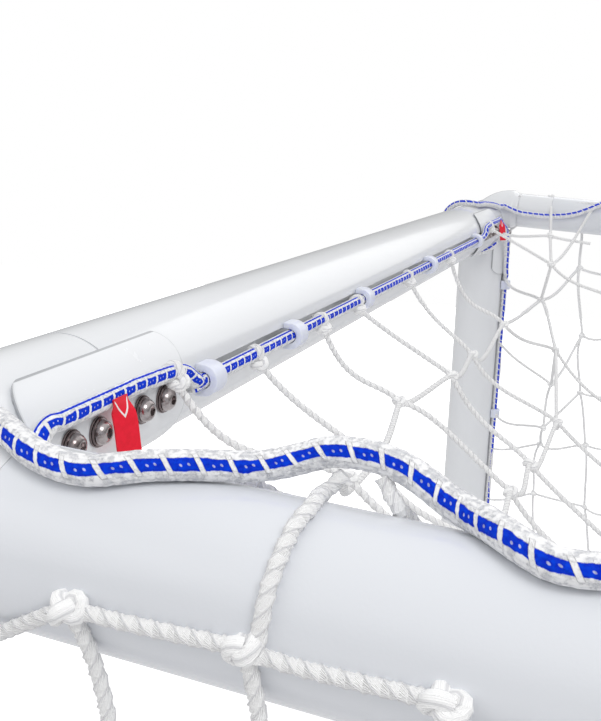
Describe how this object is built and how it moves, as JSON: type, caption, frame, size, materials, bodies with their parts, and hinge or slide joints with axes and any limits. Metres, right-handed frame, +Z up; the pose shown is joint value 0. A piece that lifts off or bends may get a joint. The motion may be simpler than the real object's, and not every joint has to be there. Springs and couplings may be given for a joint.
{
  "type": "sports goal",
  "caption": "Small white football goal with a round tube frame, sloping rear stays, a rope-edged net held by sliding clips, and saddle plates at the crossbar and post seams.",
  "frame": {"origin": "centre of the bounding box on the ground", "axes": "+X along the crossbar, the mouth faces -Y, +Z up"},
  "size_m": [2.0322, 1.2317, 1.351],
  "materials": {
    "powder_coat": "gloss",
    "plate_coat": "satin",
    "stainless": "polished",
    "splice_metal": "satin",
    "clip_nylon": "satin",
    "foot_rubber": "matt",
    "net_twine": "matt",
    "edge_rope": "matt",
    "ribbon_weave": "matt"
  },
  "bodies": {
    "goal_frame": {"crossbar": "powder_coat", "post_left": "powder_coat", "corner_left": "powder_coat", "side_bar_left": "powder_coat", "base_bar_left": "powder_coat", "foot_left": "foot_rubber", "post_right": "powder_coat", "corner_right": "powder_coat", "side_bar_right": "powder_coat", "base_bar_right": "powder_coat", "foot_right": "foot_rubber", "rear_ground_bar": "powder_coat", "crossbar_saddle_left": "plate_coat", "crossbar_splice_bar_left": "splice_metal", "crossbar_screw_left_1": "stainless", "crossbar_screw_left_2": "stainless", "crossbar_screw_left_3": "stainless", "crossbar_screw_left_4": "stainless", "crossbar_saddle_right": "plate_coat", "crossbar_splice_bar_right": "splice_metal", "crossbar_screw_right_1": "stainless", "crossbar_screw_right_2": "stainless", "crossbar_screw_right_3": "stainless", "crossbar_screw_right_4": "stainless", "post_saddle_left": "plate_coat", "post_splice_bar_left": "splice_metal", "post_screw_left_1": "stainless", "post_screw_left_2": "stainless", "post_screw_left_3": "stainless", "post_screw_left_4": "stainless", "post_saddle_right": "plate_coat", "post_splice_bar_right": "splice_metal", "post_screw_right_1": "stainless", "post_screw_right_2": "stainless", "post_screw_right_3": "stainless", "post_screw_right_4": "stainless", "net_roof": "net_twine", "net_back": "net_twine", "net_left": "net_twine", "net_right": "net_twine", "front_rope": "edge_rope", "seam_rope_left": "edge_rope", "seam_rope_right": "edge_rope", "ribbon_left": "ribbon_weave", "ribbon_right": "ribbon_weave"},
    "crossbar_clip_1_body": {"crossbar_clip_1": "clip_nylon"},
    "crossbar_clip_2_body": {"crossbar_clip_2": "clip_nylon"},
    "crossbar_clip_3_body": {"crossbar_clip_3": "clip_nylon"},
    "crossbar_clip_4_body": {"crossbar_clip_4": "clip_nylon"},
    "crossbar_clip_5_body": {"crossbar_clip_5": "clip_nylon"},
    "post_clip_left_1_body": {"post_clip_left_1": "clip_nylon"},
    "post_clip_left_2_body": {"post_clip_left_2": "clip_nylon"},
    "post_clip_left_3_body": {"post_clip_left_3": "clip_nylon"},
    "post_clip_left_4_body": {"post_clip_left_4": "clip_nylon"},
    "post_clip_right_1_body": {"post_clip_right_1": "clip_nylon"},
    "post_clip_right_2_body": {"post_clip_right_2": "clip_nylon"},
    "post_clip_right_3_body": {"post_clip_right_3": "clip_nylon"},
    "post_clip_right_4_body": {"post_clip_right_4": "clip_nylon"}
  },
  "joints": [
    {"name": "crossbar_clip_1_slide", "type": "slide", "parent": "goal_frame", "child": "crossbar_clip_1_body", "axis": [1, 0, 0], "range_m": [-0.08, 0.003]},
    {"name": "crossbar_clip_2_slide", "type": "slide", "parent": "goal_frame", "child": "crossbar_clip_2_body", "axis": [1, 0, 0], "range_m": [-0.1, 0.08]},
    {"name": "crossbar_clip_3_slide", "type": "slide", "parent": "goal_frame", "child": "crossbar_clip_3_body", "axis": [1, 0, 0], "range_m": [-0.15, 0.1]},
    {"name": "crossbar_clip_4_slide", "type": "slide", "parent": "goal_frame", "child": "crossbar_clip_4_body", "axis": [1, 0, 0], "range_m": [-0.17, 0.15]},
    {"name": "crossbar_clip_5_slide", "type": "slide", "parent": "goal_frame", "child": "crossbar_clip_5_body", "axis": [1, 0, 0], "range_m": [-0.04, 0.17]},
    {"name": "post_clip_left_1_slide", "type": "slide", "parent": "goal_frame", "child": "post_clip_left_1_body", "axis": [0, 0, 1], "range_m": [-0.14, 0.002]},
    {"name": "post_clip_left_2_slide", "type": "slide", "parent": "goal_frame", "child": "post_clip_left_2_body", "axis": [0, 0, 1], "range_m": [-0.145, 0.14]},
    {"name": "post_clip_left_3_slide", "type": "slide", "parent": "goal_frame", "child": "post_clip_left_3_body", "axis": [0, 0, 1], "range_m": [-0.145, 0.145]},
    {"name": "post_clip_left_4_slide", "type": "slide", "parent": "goal_frame", "child": "post_clip_left_4_body", "axis": [0, 0, 1], "range_m": [-0.08, 0.145]},
    {"name": "post_clip_right_1_slide", "type": "slide", "parent": "goal_frame", "child": "post_clip_right_1_body", "axis": [0, 0, 1], "range_m": [-0.14, 0.002]},
    {"name": "post_clip_right_2_slide", "type": "slide", "parent": "goal_frame", "child": "post_clip_right_2_body", "axis": [0, 0, 1], "range_m": [-0.145, 0.14]},
    {"name": "post_clip_right_3_slide", "type": "slide", "parent": "goal_frame", "child": "post_clip_right_3_body", "axis": [0, 0, 1], "range_m": [-0.145, 0.145]},
    {"name": "post_clip_right_4_slide", "type": "slide", "parent": "goal_frame", "child": "post_clip_right_4_body", "axis": [0, 0, 1], "range_m": [-0.08, 0.145]}
  ]
}
